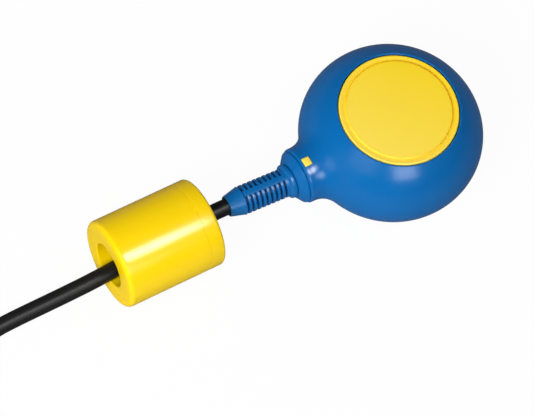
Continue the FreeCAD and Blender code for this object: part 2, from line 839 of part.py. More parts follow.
def weight_ballast():
    """The iron ring inside the weight."""
    start = weight_near + cap_length + cap_spigot + seat_gap
    end = weight_far - weight_end_wall - ballast_gap
    outer = weight_radius - weight_wall - ballast_gap
    ring = rod(outer, start, end, weight_side, weight_radius)
    return ring.cut(rod(mouth_radius + tube_thickness + ballast_gap, start, end, weight_side, weight_radius))


def cable_lock():
    """The split wedge ring that holds the weight at one place on the cable."""
    end = lock_near + lock_length
    centre = lock_near + lock_length / 2
    half = lock_length / 2
    flange_end = end + lock_flange_length
    wide = lock_grip + lock_spread * half
    ring = turned([(lock_near, wide), (lock_near, lock_small), (end, lock_large), (end, lock_flange),
                   (flange_end, lock_flange), (flange_end, wide + lock_spread * lock_flange_length),
                   (centre, lock_grip)], weight_side, weight_radius)
    split = box(-big, 0, weight_side - lock_split / 2, weight_side + lock_split / 2, 0, weight_radius)
    return ring.cut(split)


# Write every piece

shell_upper, shell_lower = shell_halves()
save("float_shell_upper", shell_upper)
save("float_shell_lower", shell_lower)
save("capsule_body", capsule_body())
save("capsule_lid", capsule_lid())
save("capsule_seal", capsule_seal())
save("gland_seal", gland_seal())
save("gland_washer", gland_washer())
save("gland_collar", gland_collar())
save("cable_boot", cable_boot())
save("steel_ball", steel_ball())
save("switch_carrier", switch_carrier())
save("channel_plug", channel_plug())
save("carrier_screws", carrier_screws())
save("switch_case", switch_case())
save("switch_cover", switch_cover())
save("lever_pin", pivot_pin(0))
save("switch_lever", switch_lever())
save("switch_plunger", switch_plunger())
wire_names = ("blue", "brown", "black")
tag_names = ("closed", "common", "open")
wire_cores = core_places()[1:] + core_places()[:1]
for i, z in enumerate(tag_heights()):
    save("tag_" + tag_names[i], solder_tag(z))
    save("wire_" + wire_names[i], inner_wire(wire_cores[i], wire_starts[i], z, "wire_" + wire_names[i]))
save("cable_inner", cable_inner())
save("cable_run", tube_along(run_route, cable_radius, "cable_run"))
save("cable_coil", cable_coil())
save("cable_tail", tube_along(tail_route, cable_radius, "cable_tail"))
for i, name in enumerate(wire_names):
    core, ferrule = core_tail(i)
    save("core_" + name, core)
    save("ferrule_" + name, ferrule)
save("weight_case", weight_case())
save("weight_cap", weight_cap())
save("weight_ballast", weight_ballast())
save("cable_lock", cable_lock())
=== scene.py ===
import math

import bpy
from mathutils import Matrix, Vector


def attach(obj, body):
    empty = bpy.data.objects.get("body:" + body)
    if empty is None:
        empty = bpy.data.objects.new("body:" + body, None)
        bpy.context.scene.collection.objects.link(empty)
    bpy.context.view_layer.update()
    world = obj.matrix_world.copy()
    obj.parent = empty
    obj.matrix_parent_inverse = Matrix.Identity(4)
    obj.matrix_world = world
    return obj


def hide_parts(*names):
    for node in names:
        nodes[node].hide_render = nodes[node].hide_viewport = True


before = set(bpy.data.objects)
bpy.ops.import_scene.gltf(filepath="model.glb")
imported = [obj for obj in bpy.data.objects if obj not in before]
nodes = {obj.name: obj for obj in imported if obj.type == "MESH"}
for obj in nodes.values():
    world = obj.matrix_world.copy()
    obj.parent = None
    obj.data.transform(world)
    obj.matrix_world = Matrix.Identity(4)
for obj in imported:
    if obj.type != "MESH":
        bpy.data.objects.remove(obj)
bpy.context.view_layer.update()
mm = 0.001

# The view: a long lens looks down on the float from its cable side, turned so that the cable
# runs to the lower left. The aim is a point in the height of the float's middle.
picture_width_px = 534
focal_length_px = 3844
aim = Vector((-82.6, -9.0, 28.5)) * mm
view_distance = 2034.9 * mm
view_azimuth = math.radians(45.85)
view_elevation = math.radians(63.80)
view_roll = math.radians(17.51)
view_way = Vector((math.sin(view_azimuth) * math.cos(view_elevation),
                   math.cos(view_azimuth) * math.cos(view_elevation), -math.sin(view_elevation)))
lens = bpy.data.cameras.new("view")
lens.lens = focal_length_px / picture_width_px * lens.sensor_width
view = bpy.data.objects.new("view", lens)
level_turn = view_way.to_track_quat("-Z", "Y").to_matrix().to_4x4()
view_turn = level_turn @ Matrix.Rotation(view_roll, 4, "Z")
view.matrix_world = Matrix.Translation(aim - view_way * view_distance) @ view_turn
bpy.context.scene.collection.objects.link(view)
bpy.context.scene.camera = view

# The cable: a round rubber jacket over three cores, from the boot's tip through the weight and into
# a coil of two flat layers, wound inwards above and outwards below. Its end lies beside the coil.
middle = 28.5 * mm
cable_radius = 4.5 * mm
boot_ring_end = 66.1 * mm
boot_lean = math.radians(2.5)
cable_exit = 99.5 * mm
exit_lead = 10.0 * mm
coil_centre = Vector((-292.0 * mm, 46.5 * mm, 0.0))
coil_turn_radius = 57.5 * mm
coil_pitch = 9.1 * mm
coil_entry_angle = -76.5
coil_leave_angle = -50.0
coil_turns = 6 + (coil_entry_angle - coil_leave_angle) / 360
coil_stub = 34.0 * mm
coil_lead_in = 8.0 * mm
coil_lead_out = 10.0 * mm
points_in_coil = 142
cross_over_turns = 0.12
top_turn = 3 * cable_radius


def cable_line(s):
    """A point on the cable's line: straight in the gland, and leaning from the boot's ring on."""
    ahead = max(s - boot_ring_end, 0)
    return ahead - s - ahead * math.cos(boot_lean), ahead * math.sin(boot_lean), middle


def beside_coil(angle, along, height):
    """A point on the line that touches the outer turn at an angle, some way along it."""
    turn = math.radians(angle)
    x = coil_centre.x + coil_turn_radius * math.cos(turn) + along * math.sin(turn)
    y = coil_centre.y + coil_turn_radius * math.sin(turn) - along * math.cos(turn)
    return x, y, height


def coil_point(i):
    """One of the coil's points, set out a little so that the smooth line has the turn's radius."""
    turns = (i + 0.5) * coil_turns / points_in_coil
    half_step = math.pi * coil_turns / points_in_coil
    from_outside = min(turns, coil_turns - turns)
    radius = (coil_turn_radius - coil_pitch * from_outside) / math.cos(half_step)
    sink = min(max((turns - coil_turns / 2) / cross_over_turns, -1), 1)
    height = 2 * cable_radius - cable_radius * math.sin(sink * math.pi / 2)
    angle = math.radians(coil_entry_angle) - turns * math.tau
    return coil_centre.x + radius * math.cos(angle), coil_centre.y + radius * math.sin(angle), height


# The run's points, in millimetres past the cable's exit, to the side and up, and the tail's, back
# and aside from the coil's centre.
run_points = [(22.0, 1.2, 26.6), (50.5, 1.0, 21.0), (76.5, 0.2, 16.2), (100.5, 0.3, 14.3)]
tail_points = [(6.2, 77.8), (16.6, 81.4), (26.5, 82.8)]
cable_route = [cable_line(cable_exit), cable_line(cable_exit + exit_lead)]
cable_route += [(-cable_exit - past * mm, side * mm, height * mm) for past, side, height in run_points]
cable_route += [beside_coil(coil_entry_angle, -coil_stub - coil_lead_in, top_turn),
                beside_coil(coil_entry_angle, -coil_stub, top_turn)]
cable_route += [coil_point(i) for i in range(points_in_coil)]
cable_route += [beside_coil(coil_leave_angle, coil_stub, cable_radius),
                beside_coil(coil_leave_angle, coil_stub + coil_lead_out, cable_radius)]
cable_route += [(coil_centre.x - back * mm, coil_centre.y - aside * mm, cable_radius)
                for back, aside in tail_points]
cable_curve = bpy.data.curves.new("cable", "CURVE")
cable_curve.dimensions = "3D"
cable_spline = cable_curve.splines.new("NURBS")
cable_spline.points.add(len(cable_route) - 1)
for point, place in zip(cable_spline.points, cable_route):
    point.co = (*place, 1.0)
cable_spline.order_u = 3
cable_spline.use_endpoint_u = True
cable_spline.resolution_u = 5
cable_curve.bevel_depth = cable_radius
cable_curve.bevel_resolution = 7
cable_curve.use_fill_caps = True
cable = bpy.data.objects.new("cable", cable_curve)
bpy.context.scene.collection.objects.link(cable)


def new_group(name, inputs, outputs):
    """An empty shader node group with named sockets."""
    group = bpy.data.node_groups.new(name, "ShaderNodeTree")
    for socket, kind, value in inputs:
        made = group.interface.new_socket(socket, in_out="INPUT", socket_type=kind)
        made.default_value = value
    for socket, kind in outputs:
        group.interface.new_socket(socket, in_out="OUTPUT", socket_type=kind)
    return group, group.nodes.new("NodeGroupInput"), group.nodes.new("NodeGroupOutput")


def add_node(tree, kind, links=(), **settings):
    """A node with its settings, and its inputs linked or given a value."""
    node = tree.nodes.new(kind)
    for setting, value in settings.items():
        setattr(node, setting, value)
    for socket, source in links:
        if isinstance(source, bpy.types.NodeSocket):
            tree.links.new(source, node.inputs[socket])
        else:
            node.inputs[socket].default_value = source
    return node


def calculate(tree, operation, *values):
    """The result of a maths node on its values, which are numbers or sockets."""
    return add_node(tree, "ShaderNodeMath", list(enumerate(values)), operation=operation).outputs[0]


# Surface grain: a fine tool texture, a slow drift of shade, and small differences of gloss.
grain, grain_in, grain_out = new_group(
    "surface grain",
    [("Colour", "NodeSocketColor", (0.5, 0.5, 0.5, 1.0)), ("Drift", "NodeSocketFloat", 0.06),
     ("Grain Size", "NodeSocketFloat", 0.4), ("Roughness", "NodeSocketFloat", 0.4),
     ("Gloss Drift", "NodeSocketFloat", 0.08)],
    [("Colour", "NodeSocketColor"), ("Roughness", "NodeSocketFloat"), ("Height", "NodeSocketFloat")])
place = add_node(grain, "ShaderNodeTexCoord").outputs["Object"]
slow = add_node(grain, "ShaderNodeTexNoise", [("Vector", place), ("Scale", 45.0), ("Detail", 3.0)])
shade = calculate(grain, "SUBTRACT", slow.outputs["Fac"], 0.5)
shade = calculate(grain, "MULTIPLY_ADD", shade, grain_in.outputs["Drift"], 1.0)
tinted = add_node(grain, "ShaderNodeVectorMath", [(0, grain_in.outputs["Colour"]), ("Scale", shade)],
                  operation="SCALE")
grain.links.new(tinted.outputs[0], grain_out.inputs["Colour"])
fineness = calculate(grain, "DIVIDE", 1000.0, grain_in.outputs["Grain Size"])
fine = add_node(grain, "ShaderNodeTexNoise", [("Vector", place), ("Scale", fineness), ("Detail", 2.0)])
grain.links.new(fine.outputs["Fac"], grain_out.inputs["Height"])
gloss = calculate(grain, "ADD", fine.outputs["Fac"], slow.outputs["Fac"])
gloss = calculate(grain, "SUBTRACT", gloss, 1.0)
gloss = calculate(grain, "MULTIPLY_ADD", gloss, grain_in.outputs["Gloss Drift"],
                  grain_in.outputs["Roughness"])
grain.links.new(gloss, grain_out.inputs["Roughness"])


def finish_of(name, colour, roughness, grain_size=0.4, depth=0.02, drift=0.06, metallic=0.0, ior=1.5):
    """A material of one colour with the surface grain; its grain size and depth are in millimetres."""
    material = bpy.data.materials.new(name)
    material.use_nodes = True
    tree = material.node_tree
    shader = tree.nodes["Principled BSDF"]
    surface = add_node(tree, "ShaderNodeGroup", node_tree=grain)
    surface.inputs["Colour"].default_value = (*colour, 1.0)
    surface.inputs["Drift"].default_value = drift
    surface.inputs["Grain Size"].default_value = grain_size
    surface.inputs["Roughness"].default_value = roughness
    bump = add_node(tree, "ShaderNodeBump", [("Height", surface.outputs["Height"]), ("Distance", depth * mm)])
    tree.links.new(surface.outputs["Colour"], shader.inputs["Base Color"])
    tree.links.new(surface.outputs["Roughness"], shader.inputs["Roughness"])
    tree.links.new(bump.outputs["Normal"], shader.inputs["Normal"])
    shader.inputs["Metallic"].default_value = metallic
    shader.inputs["IOR"].default_value = ior
    return material


def dress(piece, material):
    """Give a piece its one material."""
    piece.data.materials.clear()
    piece.data.materials.append(material)


jacket_rubber = finish_of("black jacket rubber", (0.0095, 0.0095, 0.0097), 0.42, grain_size=0.7,
                          depth=0.05, drift=0.3, ior=1.36)
dress(cable, jacket_rubber)
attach(cable, "housing")
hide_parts("cable_run", "cable_coil", "cable_tail")
dress(nodes["cable_inner"], jacket_rubber)

# The cable's far end: three cores stand out of the cut jacket, each with a crimped ferrule for a
# screw terminal. Their insulation is coloured vinyl, and the ferrules are tinned copper.
core_colours = {"blue": (0.02, 0.12, 0.50), "brown": (0.16, 0.06, 0.025), "black": (0.02, 0.02, 0.02)}
tinned_copper = finish_of("tinned copper", (0.72, 0.72, 0.70), 0.3, grain_size=0.2, depth=0.01, metallic=1.0)
for name, colour in core_colours.items():
    vinyl = finish_of(name + " core vinyl", colour, 0.3, grain_size=0.5, depth=0.01, drift=0.1)
    dress(nodes["core_" + name], vinyl)
    dress(nodes["wire_" + name], vinyl)
    dress(nodes["ferrule_" + name], tinned_copper)

# The float's outer shell: two halves moulded in blue plastic and welded round the middle, a
# flattened ball with a neck. Each half has a round opening for the yellow face, and the neck a
# small window above and below for the capsule's catches.
float_radius = 50.0 * mm
lip_height = 28.0 * mm
lip_radius = 33.8 * mm
opening_radius = 33.05 * mm
dome_half_axis = lip_height / math.sqrt(1 - (lip_radius / float_radius) ** 2)
shell_wall = 2.6 * mm
sleeve_length = 7.5 * mm
sleeve_wall = 1.8 * mm
weld_chamfer = 0.12 * mm
lip_chamfer = 0.2 * mm
dome_steps = 40
inner_dome_steps = 12
neck_radius = 15.5 * mm
neck_wall = 2.4 * mm
neck_end = 58.9 * mm
neck_rounding = 1.5 * mm
neck_chamfer = 0.4 * mm
neck_root = 41.0 * mm
flare_start = 53.4 * mm
flare_meets = 22.5 * mm
flare_rings = 14
flare_step = 0.5 * mm
window_start = 52.9 * mm
window_length = 4.7 * mm
window_width = 5.2 * mm
window_from_middle = 11.0 * mm
merge_distance = 0.004 * mm
smooth_below = math.radians(30)
least_share = 0.001
slack = 0.01 * mm


def draw(name, points):
    """A new piece with one line of points, drawn from a single vertex and left in edit mode."""
    bpy.ops.object.select_all(action="DESELECT")
    bpy.ops.mesh.primitive_plane_add(size=mm, location=(0, 0, 0))
    piece = bpy.context.active_object
    piece.name = name
    bpy.ops.object.mode_set(mode="EDIT")
    bpy.ops.mesh.merge(type="CENTER")
    bpy.ops.transform.translate(value=points[0])
    for here, there in zip(points, points[1:]):
        step = [b - a for a, b in zip(here, there)]
        bpy.ops.mesh.extrude_vertices_move(TRANSFORM_OT_translate={"value": step})
    return piece


def spin(name, points, centre, axis, steps):
    """A turned piece: its outline is spun about an axis and closed."""
    piece = draw(name, points)
    bpy.ops.mesh.select_all(action="SELECT")
    bpy.ops.mesh.spin(steps=steps, angle=math.tau, center=centre, axis=axis)
    bpy.ops.mesh.select_all(action="SELECT")
    bpy.ops.mesh.remove_doubles(threshold=merge_distance)
    bpy.ops.mesh.normals_make_consistent(inside=False)
    bpy.ops.object.mode_set(mode="OBJECT")
    bpy.ops.object.shade_smooth_by_angle(angle=smooth_below)
    return piece


def spin_upright(name, outline, **how):
    """A piece turned about the float's upright axis, from (radius, height) corners."""
    return spin(name, [(r, 0.0, z) for r, z in outline], (0, 0, 0), (0, 0, 1), **how)


def spin_along(name, outline, y=0.0, z=middle, **how):
    """A piece turned about a line along the cable, from corners (distance along it, radius)."""
    return spin(name, [(-s, y, z + r) for s, r in outline], (0, y, z), (1, 0, 0), **how)


def arc(centre, radius, start, end, steps=6):
    """Points of a round stretch of an outline, from one angle to another in degrees."""
    angles = [math.radians(start + (end - start) * i / steps) for i in range(steps + 1)]
    return [(centre[0] + radius * math.cos(a), centre[1] + radius * math.sin(a)) for a in angles]


def dome_height(radius, wide, tall):
    """Height of the flattened ball's surface above its middle at a distance from its axis."""
    return tall * math.sqrt(1 - (radius / wide) ** 2)


def half_shell_outline():
    """The upper half's section: outside, lip, sleeve round the capsule, and inside."""
    outline = [(float_radius - weld_chamfer, middle), (float_radius, middle + weld_chamfer)]
    top = math.asin(lip_height / dome_half_axis)
    for i in range(1, dome_steps + 1):
        turn = top * i / dome_steps
        outline.append((float_radius * math.cos(turn), middle + dome_half_axis * math.sin(turn)))
    outline += [(opening_radius + lip_chamfer, middle + lip_height),
                (opening_radius, middle + lip_height - lip_chamfer)]
    sleeve_foot = middle + lip_height - sleeve_length
    sleeve_outer = opening_radius + sleeve_wall
    outline += [(opening_radius, sleeve_foot), (sleeve_outer, sleeve_foot)]
    wide = float_radius - shell_wall
    tall = dome_half_axis - shell_wall
    for i in range(inner_dome_steps + 1):
        radius = sleeve_outer + (wide - sleeve_outer) * math.sin(math.pi / 2 * i / inner_dome_steps)
        outline.append((radius, middle + dome_height(min(radius, wide), wide, tall)))
    return outline + outline[:1]


upper_shell = spin_upright("upper_shell", half_shell_outline(), steps=160)
neck_outline = [(neck_root, neck_radius - neck_wall), (neck_end - neck_chamfer, neck_radius - neck_wall),
                (neck_end, neck_radius - neck_wall + neck_chamfer)]
neck_outline += arc((neck_end - neck_rounding, neck_radius - neck_rounding), neck_rounding, 0, 90)
for ring in range(flare_rings + 1):
    neck_outline.append((flare_start - ring * flare_step, neck_radius))
neck = spin_along("neck", neck_outline + neck_outline[:1], steps=96)
for vertex in neck.data.vertices:
    share = (vertex.co.x + flare_start) / (flare_rings * flare_step)
    across = Vector((0, vertex.co.y, vertex.co.z - middle))
    if share < least_share or across.length < neck_radius - slack:
        continue
    way = across.normalized()
    tall = 1 / math.sqrt((way.y / float_radius) ** 2 + (way.z / dome_half_axis) ** 2)
    meets_x = -float_radius * math.sqrt(1 - (flare_meets / tall) ** 2)
    slope = (float_radius / tall) ** 2 * flare_meets / -meets_x
    corner_x = meets_x - slope * (flare_meets - neck_radius)
    leg = math.hypot(corner_x - meets_x, flare_meets - neck_radius)
    start_x = corner_x - leg
    x = start_x * (1 - share) ** 2 + corner_x * 2 * share * (1 - share) + meets_x * share ** 2
    radius = neck_radius * (1 - share ** 2) + flare_meets * share ** 2
    vertex.co = Vector((x, 0, middle)) + way * radius


def cutter(x0, x1, y0, y1, z0, z1):
    """A block between two corners, to cut with."""
    bpy.ops.object.select_all(action="DESELECT")
    bpy.ops.mesh.primitive_cube_add(size=1, location=((x0 + x1) / 2, (y0 + y1) / 2, (z0 + z1) / 2))
    block = bpy.context.active_object
    block.scale = (x1 - x0, y1 - y0, z1 - z0)
    bpy.ops.object.transform_apply(location=True, rotation=True, scale=True)
    return block


def cut(piece, block):
    """Take a block out of a piece, and delete the block."""
    bpy.ops.object.select_all(action="DESELECT")
    bpy.context.view_layer.objects.active = piece
    piece.select_set(True)
    taking = piece.modifiers.new("cut", "BOOLEAN")
    taking.object = block
    taking.solver = "EXACT"
    bpy.ops.object.modifier_apply(modifier=taking.name)
    bpy.data.objects.remove(block)


for low, high in ((middle + window_from_middle, 2 * middle), (0.0, middle - window_from_middle)):
    cut(neck, cutter(-window_start - window_length, -window_start,
                     -window_width / 2, window_width / 2, low, high))


def copy_of(piece, name):
    """A copy of a piece, which stays selected."""
    bpy.ops.object.select_all(action="DESELECT")
    piece.select_set(True)
    bpy.context.view_layer.objects.active = piece
    bpy.ops.object.duplicate()
    copy = bpy.context.active_object
    copy.name = name
    return copy


def half_of(piece, name, keep_upper):
    """A copy of a piece cut through at the float's middle."""
    half = copy_of(piece, name)
    bpy.ops.object.mode_set(mode="EDIT")
    bpy.ops.mesh.select_all(action="SELECT")
    bpy.ops.mesh.bisect(plane_co=(0, 0, middle), plane_no=(0, 0, 1), use_fill=True,
                        clear_inner=keep_upper, clear_outer=not keep_upper)
    bpy.ops.object.mode_set(mode="OBJECT")
    return half


def join(name, *pieces):
    """Several pieces as one object."""
    bpy.ops.object.select_all(action="DESELECT")
    for piece in pieces:
        piece.select_set(True)
    bpy.context.view_layer.objects.active = pieces[0]
    bpy.ops.object.join()
    pieces[0].name = name
    bpy.ops.object.shade_smooth_by_angle(angle=smooth_below)
    return pieces[0]


def mirrored(piece, name):
    """A copy of a piece turned over about the float's middle."""
    copy = copy_of(piece, name)
    copy.data.transform(Matrix.Translation((0, 0, 2 * middle)) @ Matrix.Scale(-1, 4, (0, 0, 1)))
    bpy.ops.object.mode_set(mode="EDIT")
    bpy.ops.mesh.select_all(action="SELECT")
    bpy.ops.mesh.normals_make_consistent(inside=False)
    bpy.ops.object.mode_set(mode="OBJECT")
    return copy


lower_shell = mirrored(upper_shell, "lower_shell")
upper_shell = join("upper_shell", upper_shell, half_of(neck, "neck_above", True))
lower_shell = join("lower_shell", lower_shell, half_of(neck, "neck_below", False))
bpy.data.objects.remove(neck)
blue_plastic = finish_of("blue shell plastic", (0.0, 0.126, 0.385), 0.23,
                         grain_size=0.5, depth=0.02, drift=0.1)
for piece, node in ((upper_shell, "float_shell_upper"), (lower_shell, "float_shell_lower")):
    dress(piece, blue_plastic)
    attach(piece, "housing")
    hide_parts(node)

# The capsule: the sealed yellow box inside the float. Its lid is the upper face, and its cup the
# lower one; each face is a disc with a step down to a shallow channel and a rounded rim. The cup's
# tube goes out through the neck, with a catch above and below that snaps into the window.
face_radius = 32.5 * mm
plateau_radius = 28.7 * mm
plateau_step = 0.5 * mm
plateau_border = 6.0 * mm
plateau_edge = 0.2 * mm
plateau_drop = 0.12 * mm
channel_depth = 0.95 * mm
channel_start = 0.45 * mm
channel_end = 1.3 * mm
channel_rise = 2.2 * mm
rim_height = 0.5 * mm
rim_drop = 0.15 * mm
rim_rounding = 0.75 * mm
face_top = 2 * middle
# Painted light: the face's colour drifts from a deeper yellow to a paler one towards the lower left, the side
# that the key lamp lights.
face_colour_shaded_side = (0.96, 0.695, 0.008, 1.0)
face_colour_lit_side = (0.98, 0.755, 0.085, 1.0)
painted_light_way = (-0.79, -0.61, 0.0)
# Painted shade: a ring of deeper orange over the channel, where shade falls, and weaker on the lit side.
channel_painted_shade_colour = (0.99, 0.60, 0.0, 1.0)
shade_ring_middle = 0.6 * mm
shade_ring_full = 0.4 * mm
shade_ring_fades = 2.0 * mm
shade_ring_loss_lit_side = 0.7
capsule_inner = 30.4 * mm
capsule_floor = 3.0 * mm
lid_depth = 8.0 * mm
lid_gap = 0.05 * mm
tube_radius = 12.8 * mm
tube_bore = 10.4 * mm
tube_set_back = 0.7 * mm
catch_root = 1.0 * mm
catch_gap = 0.15 * mm
catch_proud = 0.3 * mm
catch_rounding = 0.45 * mm


def face_outline():
    """A yellow face's section from its axis outwards, as (radius, depth below the face)."""
    outline = [(0.0, 0.0), (plateau_radius - plateau_border, 0.0)]
    outline += [(plateau_radius - plateau_edge, 0.0), (plateau_radius, plateau_drop),
                (plateau_radius + plateau_edge, plateau_step)]
    outline += [(plateau_radius + channel_start, channel_depth),
                (plateau_radius + channel_end, channel_depth),
                (plateau_radius + channel_rise, rim_height + rim_drop)]
    rim = (face_radius - rim_rounding, rim_height + rim_rounding)
    return outline + [(x, 2 * rim[1] - y) for x, y in arc(rim, rim_rounding, 90, 0)]


def paint_face_light_and_shade(material):
    """The face's painted light and shade: a painted shade of deeper orange in the channel, weaker on the lit
    side, and painted light that makes the face paler towards the cable's side.
    """
    tree = material.node_tree
    surface = next(node for node in tree.nodes if node.type == "GROUP")
    place = add_node(tree, "ShaderNodeTexCoord").outputs["Object"]
    flat = add_node(tree, "ShaderNodeVectorMath", [(0, place), (1, (1.0, 1.0, 0.0))], operation="MULTIPLY")
    from_axis = add_node(tree, "ShaderNodeVectorMath", [(0, flat.outputs[0])], operation="LENGTH")
    off_ring = calculate(tree, "SUBTRACT", from_axis.outputs["Value"], plateau_radius + shade_ring_middle)
    off_ring = calculate(tree, "ABSOLUTE", off_ring)
    in_shade_ring = add_node(tree, "ShaderNodeMapRange",
                       [(0, off_ring), (1, shade_ring_full), (2, shade_ring_fades), (3, 1.0), (4, 0.0)],
                       interpolation_type="SMOOTHSTEP")
    side = add_node(tree, "ShaderNodeVectorMath", [(0, place), (1, painted_light_way)], operation="DOT_PRODUCT")
    side = add_node(tree, "ShaderNodeMapRange",
                    [(0, side.outputs["Value"]), (1, -face_radius), (2, face_radius)])
    # Painted light: the face's colour grows paler towards the lit side.
    drift = add_node(tree, "ShaderNodeMix",
                     [("Factor", side.outputs[0]), ("A", face_colour_shaded_side), ("B", face_colour_lit_side)], data_type="RGBA")
    # Painted shade in the channel, less of it on the lit side.
    painted_shade_share = calculate(tree, "MULTIPLY_ADD", side.outputs[0], -shade_ring_loss_lit_side, 1.0)
    painted_shade_share = calculate(tree, "MULTIPLY", painted_shade_share, in_shade_ring.outputs[0])
    ring = add_node(tree, "ShaderNodeMix",
                    [("Factor", painted_shade_share), ("A", drift.outputs["Result"]), ("B", channel_painted_shade_colour)],
                    data_type="RGBA")
    tree.links.new(ring.outputs["Result"], surface.inputs["Colour"])


lid_outline = [(r, face_top - d) for r, d in face_outline()]
lid_foot = face_top - lid_depth + lid_gap
lid_outline += [(face_radius, lid_foot), (capsule_inner, lid_foot),
                (capsule_inner, face_top - capsule_floor), (0.0, face_top - capsule_floor)]
lid = spin_upright("capsule_lid_face", lid_outline, steps=160)
cup_outline = face_outline()
cup_outline += [(face_radius, face_top - lid_depth), (capsule_inner, face_top - lid_depth),
                (capsule_inner, capsule_floor), (0.0, capsule_floor)]
cup = spin_upright("capsule_cup", cup_outline, steps=160)
tube_end = neck_end - tube_set_back
tube_outline = [(capsule_inner, tube_bore), (tube_end, tube_bore),
                (tube_end, tube_radius), (capsule_inner, tube_radius)]
tube = spin_along("capsule_tube", tube_outline + tube_outline[:1], steps=64)
catches = []
for side in (1, -1):
    low = middle + side * (tube_radius - catch_root)
    high = middle + side * (neck_radius + catch_proud)
    catch = cutter(-window_start - window_length + catch_gap, -window_start - catch_gap,
                   -window_width / 2 + catch_gap, window_width / 2 - catch_gap,
                   min(low, high), max(low, high))
    bpy.ops.object.mode_set(mode="EDIT")
    bpy.ops.mesh.select_all(action="SELECT")
    bpy.ops.mesh.bevel(offset=catch_rounding, segments=4)
    bpy.ops.object.mode_set(mode="OBJECT")
    catches.append(catch)
cup = join("capsule_cup", cup, tube, *catches)
yellow_plastic = finish_of("yellow capsule plastic", (0.93, 0.70, 0.06), 0.34,
                           grain_size=0.5, depth=0.02, drift=0.04)
# Painted light and shade in the faces' colour: paler towards the lit side, and a deeper orange painted shade
# in the channel.
paint_face_light_and_shade(yellow_plastic)
for piece, node in ((lid, "capsule_lid"), (cup, "capsule_body")):
    dress(piece, yellow_plastic)
    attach(piece, "housing")
    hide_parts(node)

# The gland's collar: a blue moulded nut that closes the neck round the boot's stem. It has a
# rounded shoulder and a cone towards the cable. The shoulder's and the rim's points are in
# millimetres along the collar and in from its radius.
collar_start = 54.0 * mm
collar_head = 59.0 * mm
collar_end = 63.3 * mm
collar_root = 14.6 * mm
collar_tip = 10.4 * mm
collar_bore = 8.3 * mm
collar_thread = 10.2 * mm
collar_lip = 2.2 * mm
collar_shoulder = [(0.0, 0.5), (0.15, 0.15), (0.5, 0.0), (0.8, 0.1), (1.1, 0.35)]
collar_rim = [(0.4, -0.5), (0.0, 0.2)]
boot_neck_radius = 7.4 * mm
bore_gap = 0.1 * mm
lip_bore = boot_neck_radius + bore_gap
collar_outline = [(collar_start, collar_bore), (collar_start, collar_thread), (collar_head, collar_thread)]
collar_outline += [(collar_head + along * mm, collar_root - drop * mm) for along, drop in collar_shoulder]
collar_outline += [(collar_end - back * mm, collar_tip - drop * mm) for back, drop in collar_rim]
collar_outline += [(collar_end, lip_bore), (collar_end - collar_lip, lip_bore),
                   (collar_end - collar_lip, collar_bore)]
collar = spin_along("collar", collar_outline + collar_outline[:1], steps=96)
dress(collar, blue_plastic)
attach(collar, "housing")
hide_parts("gland_collar")

# The cable boot: soft blue rubber, moulded in one with a ring at its root, nine slots on each side
# between an upper and a lower spine, and a taper that grips the cable's jacket.
boot_start = 54.5 * mm
boot_stem_radius = 8.2 * mm
boot_stem_end = 61.0 * mm
boot_ring_radius = 9.5 * mm
boot_ring_start = 63.4 * mm
boot_ring_rounding = 0.7 * mm
boot_sleeve = 66.9 * mm
boot_radius = 7.95 * mm
boot_straight_end = 92.4 * mm
boot_end = 101.4 * mm
boot_tip_radius = 5.85 * mm
boot_tip_rounding = 0.5 * mm
taper_start = 1.5 * mm
taper_drop = 0.35 * mm
boot_mouth = 0.5 * mm
boot_mouth_depth = 2.0 * mm
slot_first = 1.6 * mm
slot_pitch = 2.85 * mm
slot_width = 1.4 * mm
slot_count = 9
slot_core = 5.6 * mm
slot_edge = 0.2 * mm
spine_width = 3.3 * mm
spine_root = slot_core - 1.0 * mm
boot_bore = cable_radius + bore_gap
lean_from = boot_ring_end + 0.1 * mm


def boot_outline(slotted):
    """The boot's section from its stem to its tip, with or without the slots."""
    outline = [(boot_start, boot_bore), (boot_start, boot_stem_radius), (boot_stem_end, boot_stem_radius),
               (boot_stem_end, boot_neck_radius), (boot_ring_start, boot_neck_radius)]
    rounding_centre = boot_ring_radius - boot_ring_rounding
    outline += arc((boot_ring_start + boot_ring_rounding, rounding_centre), boot_ring_rounding, 180, 90, 4)
    outline += arc((boot_ring_end - boot_ring_rounding, rounding_centre), boot_ring_rounding, 90, 20, 4)
    outline += [(boot_sleeve, boot_radius)]
    if slotted:
        for i in range(slot_count):
            s = boot_sleeve + slot_first + i * slot_pitch
            outline += [(s - slot_edge, boot_radius), (s, boot_radius - slot_edge), (s, slot_core),
                        (s + slot_width, slot_core), (s + slot_width, boot_radius - slot_edge),
                        (s + slot_width + slot_edge, boot_radius)]
    else:
        outline += [(boot_straight_end, boot_radius)]
    outline += [(boot_straight_end + taper_start, boot_radius - taper_drop)]
    tip = (boot_end - boot_tip_rounding, boot_tip_radius - boot_tip_rounding)
    outline += arc(tip, boot_tip_rounding, 80, 0, 5)
    return outline + [(boot_end, boot_bore + boot_mouth), (boot_end - boot_mouth_depth, boot_bore)]


